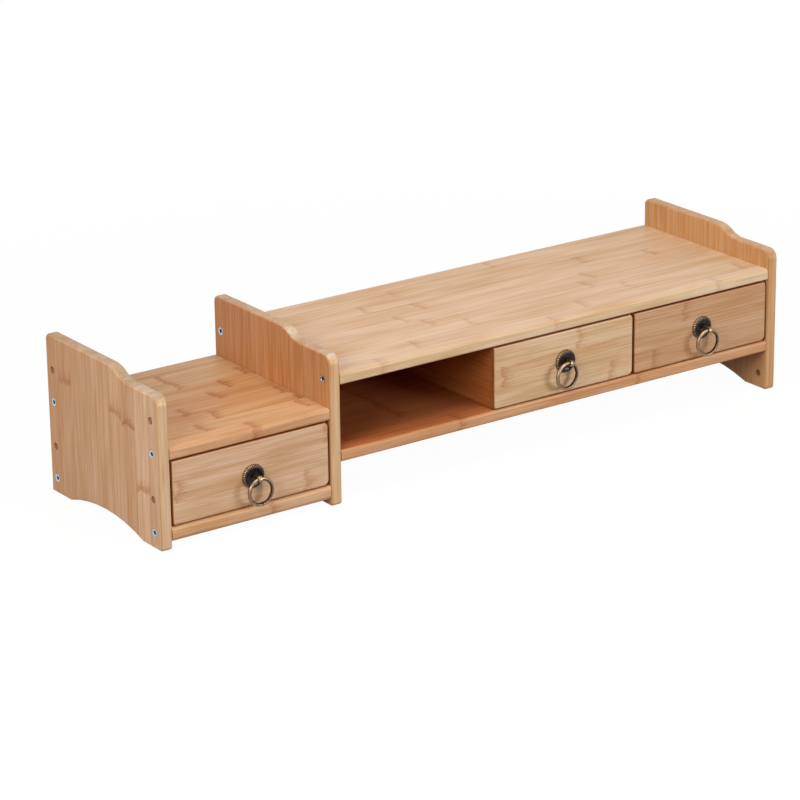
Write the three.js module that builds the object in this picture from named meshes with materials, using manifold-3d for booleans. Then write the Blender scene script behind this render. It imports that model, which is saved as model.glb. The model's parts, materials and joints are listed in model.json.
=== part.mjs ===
// A desk riser of laminated bamboo. A low step and a high shelf run between three
// shaped panels. One drawer fills the bay under the step. Two drawers fill the right
// of the bay under the shelf, and its left is an open compartment.
// Lengths are in millimetres. +X runs along the riser, the drawers open towards -Y,
// and +Z is up. The origin is on the table, under the middle of the whole part.

import * as THREE from 'three';
import { mergeVertices } from 'three/addons/utils/BufferGeometryUtils.js';
import Module from 'manifold-3d';

// Driving dimensions of the carcass
const riserDepth = 200;
const panelThick = 12;
const boardThick = 11.5;
const kickThick = 15;
const lowWidth = 177;
const highWidth = 530.5;
const bayHeight = 65.5;
const lowClearance = 6.65;
const stepUp = 32.4;
const rearUpstand = 29;
const frontDrop = 9.6;

// Outline of a panel
const sweepFront = 52;
const sweepRun = 35;
const frontCorner = 10;
const rearCorner = 6;
const footCorner = 3.5;
const footLength = 33.5;
const archRise = 11;
const panelArris = 2.2;

// Boards between the panels
const boardFrontInset = 0.5;
const boardRearInset = 0.4;
const boardTopArris = 3;
const boardBottomArris = 2;
const kickTopArris = 4.5;
const kickBottomArris = 5.5;
const boardRearArris = 1;

// Thin back panels, held in grooves in the boards
const backThick = 4;
const backInset = 20;
const backGroove = 3;

// Furniture screws with flush heads and hexagon sockets
const screwLength = 40;
const screwHeadRadius = 4;
const screwRim = 0.6;
const screwShankRadius = 3.1;
const screwTipRadius = 2.2;
const screwTipLength = 2.5;
const socketFlats = 4;
const socketDepth = 2.6;
const frontColumn = 12;
const rearColumn = 11.2;
const emptyHoleRadius = 3.6;

// Drawers
const drawerSideGap = 2;
const drawerPairGap = 1.9;
const drawerWallGap = 1.7;
const frontLift = 0.9;
const frontHeadroom = 1.3;
const frontThick = 12;
const frontLip = 4;
const faceSetback = 0.8;
const faceArris = 2;
const faceTopLeft = 2.2;
const faceTopRight = 4.5;
const faceBottomRight = 5.5;
const faceBottomLeft = 2.8;
const sideThick = 8;
const sideArris = 1;
const drawerBackThick = 8;
const drawerBackDrop = 4;
const trayThick = 3;
const trayLift = 5;
const trayGroove = 4;
const stopGap = 0.5;

// Ring pulls: a fluted rosette, a split pin folded round the ring, and the ring
const rosetteRadius = 11.9;
const rosetteHeight = 3.4;
const rosetteSheet = 0.8;
const fluteDepth = 0.55;
const skirtHeight = 1.7;
const crestInset = 2.1;
const dishRadius = 5.4;
const dishDepth = 1.1;
const strapWidth = 4;
const strapThick = 0.9;
const strapGap = 0.4;
const strapFold = 8;
const eyeSlack = 0.6;
const ringRadius = 12.8;
const wireRadius = 1.75;
const ringButt = 0.5;

// How each pull was set by hand: how far its eye stands out, how much it sits to the
// right of the drawer front's middle and above it, how far its pin and ring lean, how
// far its ring turns in the eye, and where the ring's ends meet
const lowPull = { reach: 11, shift: 1.1, rise: -2.5, lean: -6, turn: 1, butt: 180 };
const highLeftPull = { reach: 9, shift: 0.6, rise: 0.6, lean: 20, turn: 5, butt: 100 };
const highRightPull = { reach: 12, shift: 0.5, rise: 0, lean: 6, turn: -1, butt: 70 };

// Clearances
const seatGap = 0.2;
const looseGap = 0.3;
const overrun = 1;

// Counts
const outlineSteps = 4;
const boardSteps = 3;
const faceSteps = 2;
const edgeSteps = 1;
const pinSteps = 6;
const arrisSteps = 3;
const screwSides = 12;
const socketSides = 6;
const fluteCount = 22;
const wireSides = 8;
const ringSteps = 32;
const boreSides = 12;

// Places worked out from the driving dimensions
const lowFloorZ = lowClearance + kickThick;
const lowTopZ = lowFloorZ + bayHeight;
const highFloorZ = lowFloorZ + stepUp;
const highTopZ = highFloorZ + bayHeight;
const rearHeight = highTopZ + boardThick + rearUpstand;
const frontHeight = rearHeight - frontDrop;
const middlePanelX = panelThick + lowWidth;
const highStartX = middlePanelX + panelThick;
const rightPanelX = highStartX + highWidth;
const totalLength = rightPanelX + panelThick;
const boardDepth = riserDepth - boardFrontInset - boardRearInset;
const backPanelY = riserDepth - backInset - backThick;
const drawerWidth = lowWidth - 2 * drawerSideGap;
const drawerDepth = backPanelY - faceSetback - stopGap;
const frontHeightZ = bayHeight - frontLift - frontHeadroom;
const drawerTopZ = frontLift + frontHeightZ;
const innerHalf = drawerWidth / 2 - sideThick;
const trayZ = looseGap + trayLift + seatGap;
const pinHalf = strapGap / 2 + strapThick;
const pinBoreRadius = Math.hypot(strapWidth / 2, pinHalf) + looseGap;
const eyeInner = wireRadius + eyeSlack;
const eyeOuter = eyeInner + strapThick;
const longestReach = Math.max(lowPull.reach, highLeftPull.reach, highRightPull.reach);
const pullReach = longestReach + eyeOuter - faceSetback;

const bamboo = new THREE.MeshStandardMaterial({ color: 0xd6a878, roughness: 0.5, metalness: 0 });
const sideBamboo = new THREE.MeshStandardMaterial({ color: 0xcd9c69, roughness: 0.55, metalness: 0 });
const antiqueBrass = new THREE.MeshStandardMaterial({ color: 0x80673f, roughness: 0.35, metalness: 0.9 });
const darkBrass = new THREE.MeshStandardMaterial({ color: 0x3b2f28, roughness: 0.4, metalness: 0.8 });
const zinc = new THREE.MeshStandardMaterial({ color: 0xc3c9d2, roughness: 0.3, metalness: 0.9 });

const solidTools = await Module();
solidTools.setup();

// Joins a geometry's shared vertices and drops the triangles that have no area.
function welded(geometry) {
  const bare = geometry.clone();
  bare.deleteAttribute('normal');
  bare.deleteAttribute('uv');
  const merged = mergeVertices(bare);
  const kept = [];
  const corners = merged.index.array;
  for (let i = 0; i < corners.length; i += 3) {
    const [a, b, c] = [corners[i], corners[i + 1], corners[i + 2]];
    if (a !== b && b !== c && c !== a) kept.push(a, b, c);
  }
  merged.setIndex(kept);
  return merged;
}

function toSolid(geometry) {
  const merged = welded(geometry);
  const mesh = new solidTools.Mesh({
    numProp: 3,
    vertProperties: Float32Array.from(merged.attributes.position.array),
    triVerts: Uint32Array.from(merged.index.array),
  });
  return new solidTools.Manifold(mesh);
}

function fromSolid(solid) {
  const mesh = solid.getMesh();
  const geometry = new THREE.BufferGeometry();
  geometry.setAttribute('position', new THREE.BufferAttribute(mesh.vertProperties, 3));
  geometry.setIndex(new THREE.BufferAttribute(mesh.triVerts, 1));
  geometry.computeVertexNormals();
  return geometry;
}

function cut(geometry, tools) {
  let solid = toSolid(geometry);
  for (const tool of tools) solid = solid.subtract(toSolid(tool));
  return fromSolid(solid);
}

// Extrudes a shape along one axis, from zero to the length. The shape's first and
// second coordinates run along the other two axes, in X, Y, Z order.
const bases = {
  x: new THREE.Matrix4().makeBasis(
    new THREE.Vector3(0, 1, 0), new THREE.Vector3(0, 0, 1), new THREE.Vector3(1, 0, 0)),
  y: new THREE.Matrix4().makeBasis(
    new THREE.Vector3(1, 0, 0), new THREE.Vector3(0, 0, 1), new THREE.Vector3(0, -1, 0)),
};

function prism(shape, length, axis, steps, arris = 0) {
  const geometry = new THREE.ExtrudeGeometry(shape, {
    depth: length - 2 * arris,
    curveSegments: steps,
    bevelEnabled: arris > 0,
    bevelThickness: arris,
    bevelSize: arris,
    bevelOffset: -arris,
    bevelSegments: arrisSteps,
  });
  geometry.translate(0, 0, arris);
  geometry.applyMatrix4(bases[axis]);
  if (axis === 'y') geometry.translate(0, length, 0);
  return welded(geometry);
}

// A box from its lowest corner and its sizes.
function block(x, y, z, width, depth, height) {
  const box = new THREE.BoxGeometry(width, depth, height);
  return box.translate(x + width / 2, y + depth / 2, z + height / 2);
}

// A rectangle whose corners have their own radii, from its lowest left corner.
function roundedRectangle(width, height, corner) {
  const shape = new THREE.Shape();
  shape.moveTo(corner.bottomLeft, 0);
  shape.absarc(width - corner.bottomRight, corner.bottomRight, corner.bottomRight, -Math.PI / 2, 0);
  shape.absarc(width - corner.topRight, height - corner.topRight, corner.topRight, 0, Math.PI / 2);
  shape.absarc(corner.topLeft, height - corner.topLeft, corner.topLeft, Math.PI / 2, Math.PI);
  shape.absarc(corner.bottomLeft, corner.bottomLeft, corner.bottomLeft, Math.PI, 1.5 * Math.PI);
  return shape;
}

// Screws

// The screw's outline from tip to head, grown by the fit of the hole that it turns in.
function screwProfile(fit, headAbove) {
  const coneDepth = screwHeadRadius - screwShankRadius;
  return [
    new THREE.Vector2(0, -screwLength - fit),
    new THREE.Vector2(screwTipRadius + fit, -screwLength - fit),
    new THREE.Vector2(screwShankRadius + fit, -screwLength + screwTipLength),
    new THREE.Vector2(screwShankRadius + fit, -screwRim - coneDepth),
    new THREE.Vector2(screwHeadRadius + fit, -screwRim),
    new THREE.Vector2(screwHeadRadius + fit, headAbove),
    new THREE.Vector2(0, headAbove),
  ];
}

function makeScrew() {
  const body = new THREE.LatheGeometry(screwProfile(0, 0), screwSides);
  const socketRadius = socketFlats / Math.sqrt(3);
  const socketHeight = socketDepth + overrun;
  const socket = new THREE.CylinderGeometry(socketRadius, socketRadius, socketHeight, socketSides);
  socket.translate(0, overrun - socketHeight / 2, 0);
  return cut(body, [socket]);
}

// side is -1 for a head on the panel's left face and 1 for one on its right face.
const screwTurn = (side) => -side * Math.PI / 2;

function screwBore(screw, piece) {
  const bore = new THREE.LatheGeometry(screwProfile(looseGap, overrun), screwSides);
  bore.rotateZ(screwTurn(screw.side));
  return bore.translate(screw.x - piece.x, screw.y - piece.y, screw.z - piece.z);
}

// Which board each panel is screwed to, and the panel face that holds the heads
const joints = [
  { panel: 'left_end', board: 'low_bottom', side: -1 },
  { panel: 'left_end', board: 'low_top', side: -1 },
  { panel: 'middle', board: 'low_bottom', side: 1 },
  { panel: 'middle', board: 'low_top', side: 1 },
  { panel: 'middle', board: 'high_bottom', side: -1 },
  { panel: 'middle', board: 'high_top', side: -1 },
  { panel: 'right_end', board: 'high_bottom', side: 1 },
  { panel: 'right_end', board: 'high_top', side: 1 },
];
const panelX = { left_end: 0, middle: middlePanelX, right_end: rightPanelX };
const boards = {
  low_bottom: { z: lowClearance, thick: kickThick },
  low_top: { z: lowTopZ, thick: boardThick },
  high_bottom: { z: highFloorZ - boardThick, thick: boardThick },
  high_top: { z: highTopZ, thick: boardThick },
};
const columnY = { front: frontColumn, rear: riserDepth - rearColumn };

// Every board's screws lie at one depth below its top face, also in the thicker board.
const screwZ = (board) => board.z + board.thick - boardThick / 2;

const screws = joints.flatMap((joint) => Object.keys(columnY).map((column) => ({
  ...joint,
  name: `screw_${joint.panel}_${joint.board}_${column}`,
  x: panelX[joint.panel] + (joint.side > 0 ? panelThick : 0),
  y: columnY[column],
  z: screwZ(boards[joint.board]),
})));

// Panels

function panelShape() {
  const quarter = Math.PI / 2;
  const sweepRadius = (sweepRun ** 2 + frontDrop ** 2) / (4 * frontDrop);
  const sweepAngle = 2 * Math.atan(frontDrop / sweepRun);
  const archSpan = riserDepth - 2 * footLength;
  const archRadius = (archSpan ** 2 / 4 + archRise ** 2) / (2 * archRise);
  const archAngle = Math.asin(archSpan / 2 / archRadius);
  const shape = new THREE.Shape();
  shape.moveTo(footCorner, 0);
  const archEnd = quarter - archAngle;
  shape.absarc(riserDepth / 2, archRise - archRadius, archRadius, quarter + archAngle, archEnd, true);
  shape.lineTo(riserDepth, 0);
  shape.absarc(riserDepth - rearCorner, rearHeight - rearCorner, rearCorner, 0, quarter);
  shape.absarc(sweepFront + sweepRun, rearHeight - sweepRadius, sweepRadius, quarter, quarter + sweepAngle);
  shape.absarc(sweepFront, frontHeight + sweepRadius, sweepRadius, sweepAngle - quarter, -quarter, true);
  shape.absarc(frontCorner, frontHeight - frontCorner, frontCorner, quarter, 2 * quarter);
  shape.absarc(footCorner, footCorner, footCorner, 2 * quarter, 3 * quarter);
  return shape;
}

// The same eight holes are drilled in every panel. A screw opens its own hole to fit.
function makePanel(name) {
  const place = { x: panelX[name], y: 0, z: 0 };
  const own = screws.filter((screw) => screw.panel === name);
  const used = own.map((screw) => screw.z);
  const tools = own.map((screw) => screwBore(screw, place));
  for (const z of Object.values(boards).map(screwZ)) {
    if (used.includes(z)) continue;
    for (const y of Object.values(columnY)) {
      const hole = new THREE.CylinderGeometry(
        emptyHoleRadius, emptyHoleRadius, panelThick + 2 * overrun, boreSides);
      tools.push(hole.rotateZ(Math.PI / 2).translate(panelThick / 2, y, z));
    }
  }
  const slab = prism(panelShape(), panelThick, 'x', outlineSteps, panelArris);
  const mesh = new THREE.Mesh(cut(slab, tools), bamboo);
  mesh.name = `${name}_panel`;
  mesh.position.set(place.x, place.y, place.z);
  return mesh;
}

// Boards

// The section of a board. The groove for the back panel opens upwards in a bottom
// board and downwards in a top board.
function boardShape(thick, topArris, bottomArris, grooveUp) {
  const quarter = Math.PI / 2;
  const grooveFront = backPanelY - boardFrontInset - looseGap;
  const grooveRear = grooveFront + backThick + 2 * looseGap;
  const shape = new THREE.Shape();
  shape.moveTo(bottomArris, 0);
  if (!grooveUp) {
    shape.lineTo(grooveFront, 0);
    shape.lineTo(grooveFront, backGroove);
    shape.lineTo(grooveRear, backGroove);
    shape.lineTo(grooveRear, 0);
  }
  shape.absarc(boardDepth - boardRearArris, boardRearArris, boardRearArris, -quarter, 0);
  shape.absarc(boardDepth - boardRearArris, thick - boardRearArris, boardRearArris, 0, quarter);
  if (grooveUp) {
    shape.lineTo(grooveRear, thick);
    shape.lineTo(grooveRear, thick - backGroove);
    shape.lineTo(grooveFront, thick - backGroove);
    shape.lineTo(grooveFront, thick);
  }
  shape.absarc(topArris, thick - topArris, topArris, quarter, 2 * quarter);
  shape.absarc(bottomArris, bottomArris, bottomArris, 2 * quarter, 3 * quarter);
  return shape;
}

function makeBoard(name, startX, width, shape) {
  const place = { x: startX + seatGap, y: boardFrontInset, z: boards[name].z };
  const own = screws.filter((screw) => screw.board === name);
  const board = prism(shape, width - 2 * seatGap, 'x', boardSteps);
  const mesh = new THREE.Mesh(cut(board, own.map((screw) => screwBore(screw, place))), bamboo);
  mesh.name = `${name}_board`;
  mesh.position.set(place.x, place.y, place.z);
  return mesh;
}

function makeBackPanel(name, startX, width, floorZ) {
  const height = bayHeight + 2 * (backGroove - looseGap);
  const geometry = block(0, 0, 0, width - 2 * seatGap, backThick, height);
  const mesh = new THREE.Mesh(geometry, bamboo);
  mesh.name = name;
  mesh.position.set(startX + seatGap, backPanelY, floorZ - backGroove + looseGap);
  return mesh;
}

// Drawers. Each is drawn round x = 0, with its face at y = 0 and its bay's floor at z = 0.

const pullHeight = (pull) => frontLift + frontHeightZ / 2 + pull.rise;

// A lip the full width of the drawer covers the sides' front ends, and the rest of
// the front's thickness fits between them.
function makeDrawerFront(pull) {
  const face = roundedRectangle(drawerWidth, frontHeightZ, {
    bottomLeft: faceBottomLeft,
    bottomRight: faceBottomRight,
    topRight: faceTopRight,
    topLeft: faceTopLeft,
  });
  const slab = prism(face, frontThick + faceArris, 'y', faceSteps, faceArris);
  slab.translate(-drawerWidth / 2, 0, frontLift);
  const wide = drawerWidth + 2 * overrun;
  const tall = frontHeightZ + 2 * overrun;
  const low = frontLift - overrun;
  const behind = block(-wide / 2, frontThick, low, wide, faceArris + overrun, tall);
  const rabbetWidth = sideThick + seatGap + overrun;
  const rabbetDepth = frontThick - frontLip + overrun;
  const leftRabbet = block(-wide / 2, frontLip, low, rabbetWidth, rabbetDepth, tall);
  const rightRabbet = block(wide / 2 - rabbetWidth, frontLip, low, rabbetWidth, rabbetDepth, tall);
  const grooveHeight = trayThick + 2 * seatGap;
  const grooveY = frontThick - trayGroove;
  const groove = block(-wide / 2, grooveY, trayZ - seatGap, wide, trayGroove + overrun, grooveHeight);
  const boreLength = frontThick + 2 * overrun;
  const pinBore = new THREE.CylinderGeometry(pinBoreRadius, pinBoreRadius, boreLength, boreSides);
  pinBore.translate(pull.shift, frontThick / 2, pullHeight(pull));
  return cut(slab, [behind, leftRabbet, rightRabbet, groove, pinBore]);
}

// A side board, grooved on its inner face for the tray. side is -1 on the left.
function makeDrawerSide(side) {
  const height = drawerTopZ - looseGap;
  const grooveLow = trayZ - seatGap - looseGap;
  const grooveHigh = grooveLow + trayThick + 2 * seatGap;
  const rounded = roundedRectangle(sideThick, height, {
    bottomLeft: sideArris,
    bottomRight: sideArris,
    topRight: sideArris,
    topLeft: sideArris,
  });
  const length = drawerDepth - frontLip - seatGap;
  const board = prism(rounded, length, 'y', edgeSteps);
  const grooveX = side < 0 ? sideThick - trayGroove : -overrun;
  const groove = block(
    grooveX, -overrun, grooveLow, trayGroove + overrun, length + 2 * overrun, grooveHigh - grooveLow);
  const startX = side < 0 ? -drawerWidth / 2 : innerHalf;
  return cut(board, [groove]).translate(startX, frontLip + seatGap, looseGap);
}

function makeDrawerBack() {
  const width = 2 * (innerHalf - seatGap);
  const bottomZ = trayZ + trayThick + seatGap;
  const height = drawerTopZ - drawerBackDrop - bottomZ;
  const board = roundedRectangle(drawerBackThick, height, {
    bottomLeft: sideArris,
    bottomRight: sideArris,
    topRight: sideArris,
    topLeft: sideArris,
  });
  return prism(board, width, 'x', edgeSteps).translate(-width / 2, drawerDepth - drawerBackThick, bottomZ);
}

function makeDrawerTray() {
  const halfWidth = innerHalf + trayGroove - seatGap;
  const startY = frontThick - trayGroove + seatGap;
  return block(-halfWidth, startY, trayZ, 2 * halfWidth, drawerDepth - startY, trayThick);
}

// Pulls. Each is drawn round the pin's hole, with the drawer's face at y = 0.

// A pressed cup with a fluted skirt and a dished face, open at the back.
function makeRosette() {
  const crestRadius = rosetteRadius - crestInset;
  const dishHeight = rosetteHeight - dishDepth;
  const outline = [
    new THREE.Vector2(rosetteRadius, looseGap),
    new THREE.Vector2(rosetteRadius - fluteDepth / 2, skirtHeight),
    new THREE.Vector2(crestRadius, rosetteHeight),
    new THREE.Vector2(dishRadius, dishHeight),
    new THREE.Vector2(pinBoreRadius, dishHeight - rosetteSheet / 2),
    new THREE.Vector2(pinBoreRadius, dishHeight - 1.5 * rosetteSheet),
    new THREE.Vector2(crestRadius - rosetteSheet / 2, rosetteHeight - rosetteSheet),
    new THREE.Vector2(rosetteRadius - fluteDepth - rosetteSheet, looseGap),
  ];
  const fluted = [0, 1];
  const cup = new THREE.LatheGeometry([...outline, outline[0]], 2 * fluteCount);
  const points = outline.length + 1;
  const position = cup.attributes.position;
  for (let step = 1; step <= 2 * fluteCount; step += 2) {
    for (const place of [...fluted, outline.length]) {
      const index = step * points + place;
      const radius = Math.hypot(position.getX(index), position.getZ(index));
      const share = (radius - fluteDepth) / radius;
      position.setX(index, position.getX(index) * share);
      position.setZ(index, position.getZ(index) * share);
    }
  }
  return welded(cup.rotateX(Math.PI));
}

// A strap folded into an eye. Its two legs pass through the drawer front and are
// bent apart flat behind it.
function makeSplitPin(pull) {
  const inner = strapGap / 2;
  const innerAngle = Math.asin(inner / eyeInner);
  const outerAngle = Math.asin(pinHalf / eyeOuter);
  const foldStart = frontThick + looseGap;
  const foldEnd = foldStart + strapThick;
  const tip = pinHalf + strapFold;
  const shape = new THREE.Shape();
  shape.moveTo(foldEnd, tip);
  shape.lineTo(foldEnd, inner);
  shape.absarc(-pull.reach, 0, eyeInner, innerAngle, 2 * Math.PI - innerAngle);
  shape.lineTo(foldEnd, -inner);
  shape.lineTo(foldEnd, -tip);
  shape.lineTo(foldStart, -tip);
  shape.lineTo(foldStart, -pinHalf);
  shape.absarc(-pull.reach, 0, eyeOuter, 2 * Math.PI - outerAngle, outerAngle, true);
  shape.lineTo(foldStart, pinHalf);
  shape.lineTo(foldStart, tip);
  return prism(shape, strapWidth, 'x', pinSteps).translate(-strapWidth / 2, 0, 0);
}

// The centre line of a ring that hangs from the origin. Its wire's ends meet at the
// butt angle, counted from the top towards +X.
class RingLine extends THREE.Curve {
  constructor(butt) {
    super();
    this.gap = ringButt / ringRadius;
    this.start = THREE.MathUtils.degToRad(butt) + this.gap / 2;
  }

  getPoint(t, target = new THREE.Vector3()) {
    const angle = this.start + t * (2 * Math.PI - this.gap);
    return target.set(ringRadius * Math.sin(angle), 0, ringRadius * (Math.cos(angle) - 1));
  }
}

function makeRing(pull) {
  const wire = new THREE.Shape();
  wire.absarc(0, 0, wireRadius, 0, 2 * Math.PI);
  return welded(new THREE.ExtrudeGeometry(wire, {
    steps: ringSteps,
    curveSegments: wireSides / 2,
    bevelEnabled: false,
    extrudePath: new RingLine(pull.butt),
  }));
}

function namedMesh(name, geometry, material) {
  const mesh = new THREE.Mesh(geometry, material);
  mesh.name = name;
  return mesh;
}

function makeDrawer(name, centreX, floorZ, pull) {
  const drawer = new THREE.Group();
  drawer.position.set(centreX, faceSetback, floorZ);
  drawer.add(namedMesh(`${name}_drawer_front`, makeDrawerFront(pull), bamboo));
  drawer.add(namedMesh(`${name}_drawer_left_side`, makeDrawerSide(-1), sideBamboo));
  drawer.add(namedMesh(`${name}_drawer_right_side`, makeDrawerSide(1), sideBamboo));
  drawer.add(namedMesh(`${name}_drawer_back`, makeDrawerBack(), sideBamboo));
  drawer.add(namedMesh(`${name}_drawer_bottom`, makeDrawerTray(), bamboo));
  const fitting = new THREE.Group();
  fitting.position.set(pull.shift, 0, pullHeight(pull));
  fitting.add(namedMesh(`${name}_pull_rosette`, makeRosette(), darkBrass));
  const pin = namedMesh(`${name}_pull_split_pin`, makeSplitPin(pull), antiqueBrass);
  pin.rotation.y = THREE.MathUtils.degToRad(pull.lean);
  const ring = namedMesh(`${name}_pull_ring`, makeRing(pull), antiqueBrass);
  ring.position.y = -pull.reach;
  ring.rotation.order = 'ZYX';
  ring.rotation.y = pin.rotation.y;
  ring.rotation.z = THREE.MathUtils.degToRad(pull.turn);
  fitting.add(pin, ring);
  drawer.add(fitting);
  return drawer;
}

// Assembly. The inner group counts from the left panel's outer face, from the
// panels' front edges and from the table.

const riser = new THREE.Group();
riser.position.set(-totalLength / 2, (pullReach - riserDepth) / 2, 0);

for (const name of Object.keys(panelX)) riser.add(makePanel(name));

const kickShape = boardShape(kickThick, kickTopArris, kickBottomArris, true);
const bottomShape = boardShape(boardThick, boardTopArris, boardBottomArris, true);
const topShape = boardShape(boardThick, boardTopArris, boardBottomArris, false);
riser.add(makeBoard('low_bottom', panelThick, lowWidth, kickShape));
riser.add(makeBoard('low_top', panelThick, lowWidth, topShape));
riser.add(makeBoard('high_bottom', highStartX, highWidth, bottomShape));
riser.add(makeBoard('high_top', highStartX, highWidth, topShape));
riser.add(makeBackPanel('low_back_panel', panelThick, lowWidth, lowFloorZ));
riser.add(makeBackPanel('high_back_panel', highStartX, highWidth, highFloorZ));

const screwGeometry = makeScrew();
for (const screw of screws) {
  const mesh = namedMesh(screw.name, screwGeometry, zinc);
  mesh.position.set(screw.x, screw.y, screw.z);
  mesh.rotation.z = screwTurn(screw.side);
  riser.add(mesh);
}

const rightDrawerX = rightPanelX - drawerWallGap - drawerWidth / 2;
const leftDrawerX = rightDrawerX - drawerWidth - drawerPairGap;
riser.add(makeDrawer('low', panelThick + lowWidth / 2, lowFloorZ, lowPull));
riser.add(makeDrawer('high_left', leftDrawerX, highFloorZ, highLeftPull));
riser.add(makeDrawer('high_right', rightDrawerX, highFloorZ, highRightPull));

const part = new THREE.Group();
part.add(riser);
export default part;
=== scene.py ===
# %% [markdown]
# A desk riser of laminated bamboo, with three drawers and three ring pulls.
#
# Every board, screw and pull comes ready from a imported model, at its real size and in
# its real place. This lesson gives them their looks: boards with soft arrises and the
# strips of bamboo that they are glued from, pressed brass pulls, and steel screws.
# Everything is in metres, and +Z is up.

# %% Load the frame
import json
import math

import bpy
from mathutils import Matrix, Vector

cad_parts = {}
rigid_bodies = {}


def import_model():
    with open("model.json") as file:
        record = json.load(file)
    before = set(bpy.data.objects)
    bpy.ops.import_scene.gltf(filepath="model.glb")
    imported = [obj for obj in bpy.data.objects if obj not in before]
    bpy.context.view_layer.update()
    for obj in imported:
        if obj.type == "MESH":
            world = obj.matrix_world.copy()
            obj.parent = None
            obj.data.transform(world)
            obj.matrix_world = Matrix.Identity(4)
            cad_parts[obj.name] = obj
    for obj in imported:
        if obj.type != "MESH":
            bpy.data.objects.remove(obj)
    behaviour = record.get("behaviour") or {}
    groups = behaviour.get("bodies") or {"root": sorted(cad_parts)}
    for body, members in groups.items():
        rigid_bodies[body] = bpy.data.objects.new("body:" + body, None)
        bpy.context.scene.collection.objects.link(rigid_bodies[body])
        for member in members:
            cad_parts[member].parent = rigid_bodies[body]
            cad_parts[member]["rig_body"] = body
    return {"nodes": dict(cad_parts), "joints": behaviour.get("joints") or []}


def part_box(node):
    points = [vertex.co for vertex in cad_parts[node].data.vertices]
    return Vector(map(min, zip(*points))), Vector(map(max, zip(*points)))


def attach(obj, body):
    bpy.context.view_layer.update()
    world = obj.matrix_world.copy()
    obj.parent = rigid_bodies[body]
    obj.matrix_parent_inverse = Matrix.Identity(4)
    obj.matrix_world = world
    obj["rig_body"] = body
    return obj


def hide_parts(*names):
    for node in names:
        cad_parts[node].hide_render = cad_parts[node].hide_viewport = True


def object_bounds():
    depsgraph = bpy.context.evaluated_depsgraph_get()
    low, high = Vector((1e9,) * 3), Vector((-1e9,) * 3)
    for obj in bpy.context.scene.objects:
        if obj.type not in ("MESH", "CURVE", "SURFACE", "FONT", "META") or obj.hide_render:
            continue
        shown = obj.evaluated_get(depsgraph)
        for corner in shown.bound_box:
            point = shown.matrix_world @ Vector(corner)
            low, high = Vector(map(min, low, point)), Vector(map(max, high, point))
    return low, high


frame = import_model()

NODES = frame["nodes"]
cad_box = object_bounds()

# %% [markdown]
# Sizes in this lesson are written in millimetres, as a joiner would write them, and
# counted from the left end of the riser: x from the left panel's outer face, y from
# the panels' front edges, z from the table. The left panel gives the two offsets, so
# nothing is fitted by eye.

# %% Millimetres, and where the riser starts
MM = 0.001

panel_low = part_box("left_end_panel")[0]
RISER_START = Vector((panel_low.x, panel_low.y, 0))
RISER_SIZE = cad_box[1] - cad_box[0]


def add_object(name, data):
    made = bpy.data.objects.new(name, data)
    bpy.context.collection.objects.link(made)
    return made


print("riser size, mm:", [round(side / MM, 1) for side in RISER_SIZE])

# %% [markdown]
# The camera stands more than three metres away, ahead of the riser and to its left,
# and looks down on it through a long lens, so that the long edges stay nearly
# parallel. A camera looks along its own -Z, so it is first raised to the horizon,
# then tipped down, then turned to the right.

# %% Camera
CAMERA_PLACE = Vector((-1.8644, -2.5873, 1.1834))
CAMERA_TURN = math.radians(35.233)
CAMERA_TIP = math.radians(-19.696)
CAMERA_ROLL = math.radians(-0.756)
LENS = 153.55
SENSOR_WIDTH = 36

camera_data = bpy.data.cameras.new("camera")
camera_data.lens = LENS
camera_data.sensor_width = SENSOR_WIDTH
camera = add_object("camera", camera_data)
turn = Matrix.Rotation(-CAMERA_TURN, 4, "Z")
tip = Matrix.Rotation(math.pi / 2 + CAMERA_TIP, 4, "X")
roll = Matrix.Rotation(CAMERA_ROLL, 4, "Z")
camera.matrix_world = Matrix.Translation(CAMERA_PLACE) @ turn @ tip @ roll
bpy.context.scene.camera = camera
print("camera is", round(camera.location.length, 2), "m from the riser's middle")

# %% [markdown]
# Every material here is drawn by nodes. Typing each node out in full hides the idea
# behind it, so a small helper adds a node, sets it up and joins it in one line. A
# number given to a socket is typed into it, and a socket given to it is joined to it.

# %% A helper for node trees
NOISE_MIDDLE = 0.5


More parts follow.
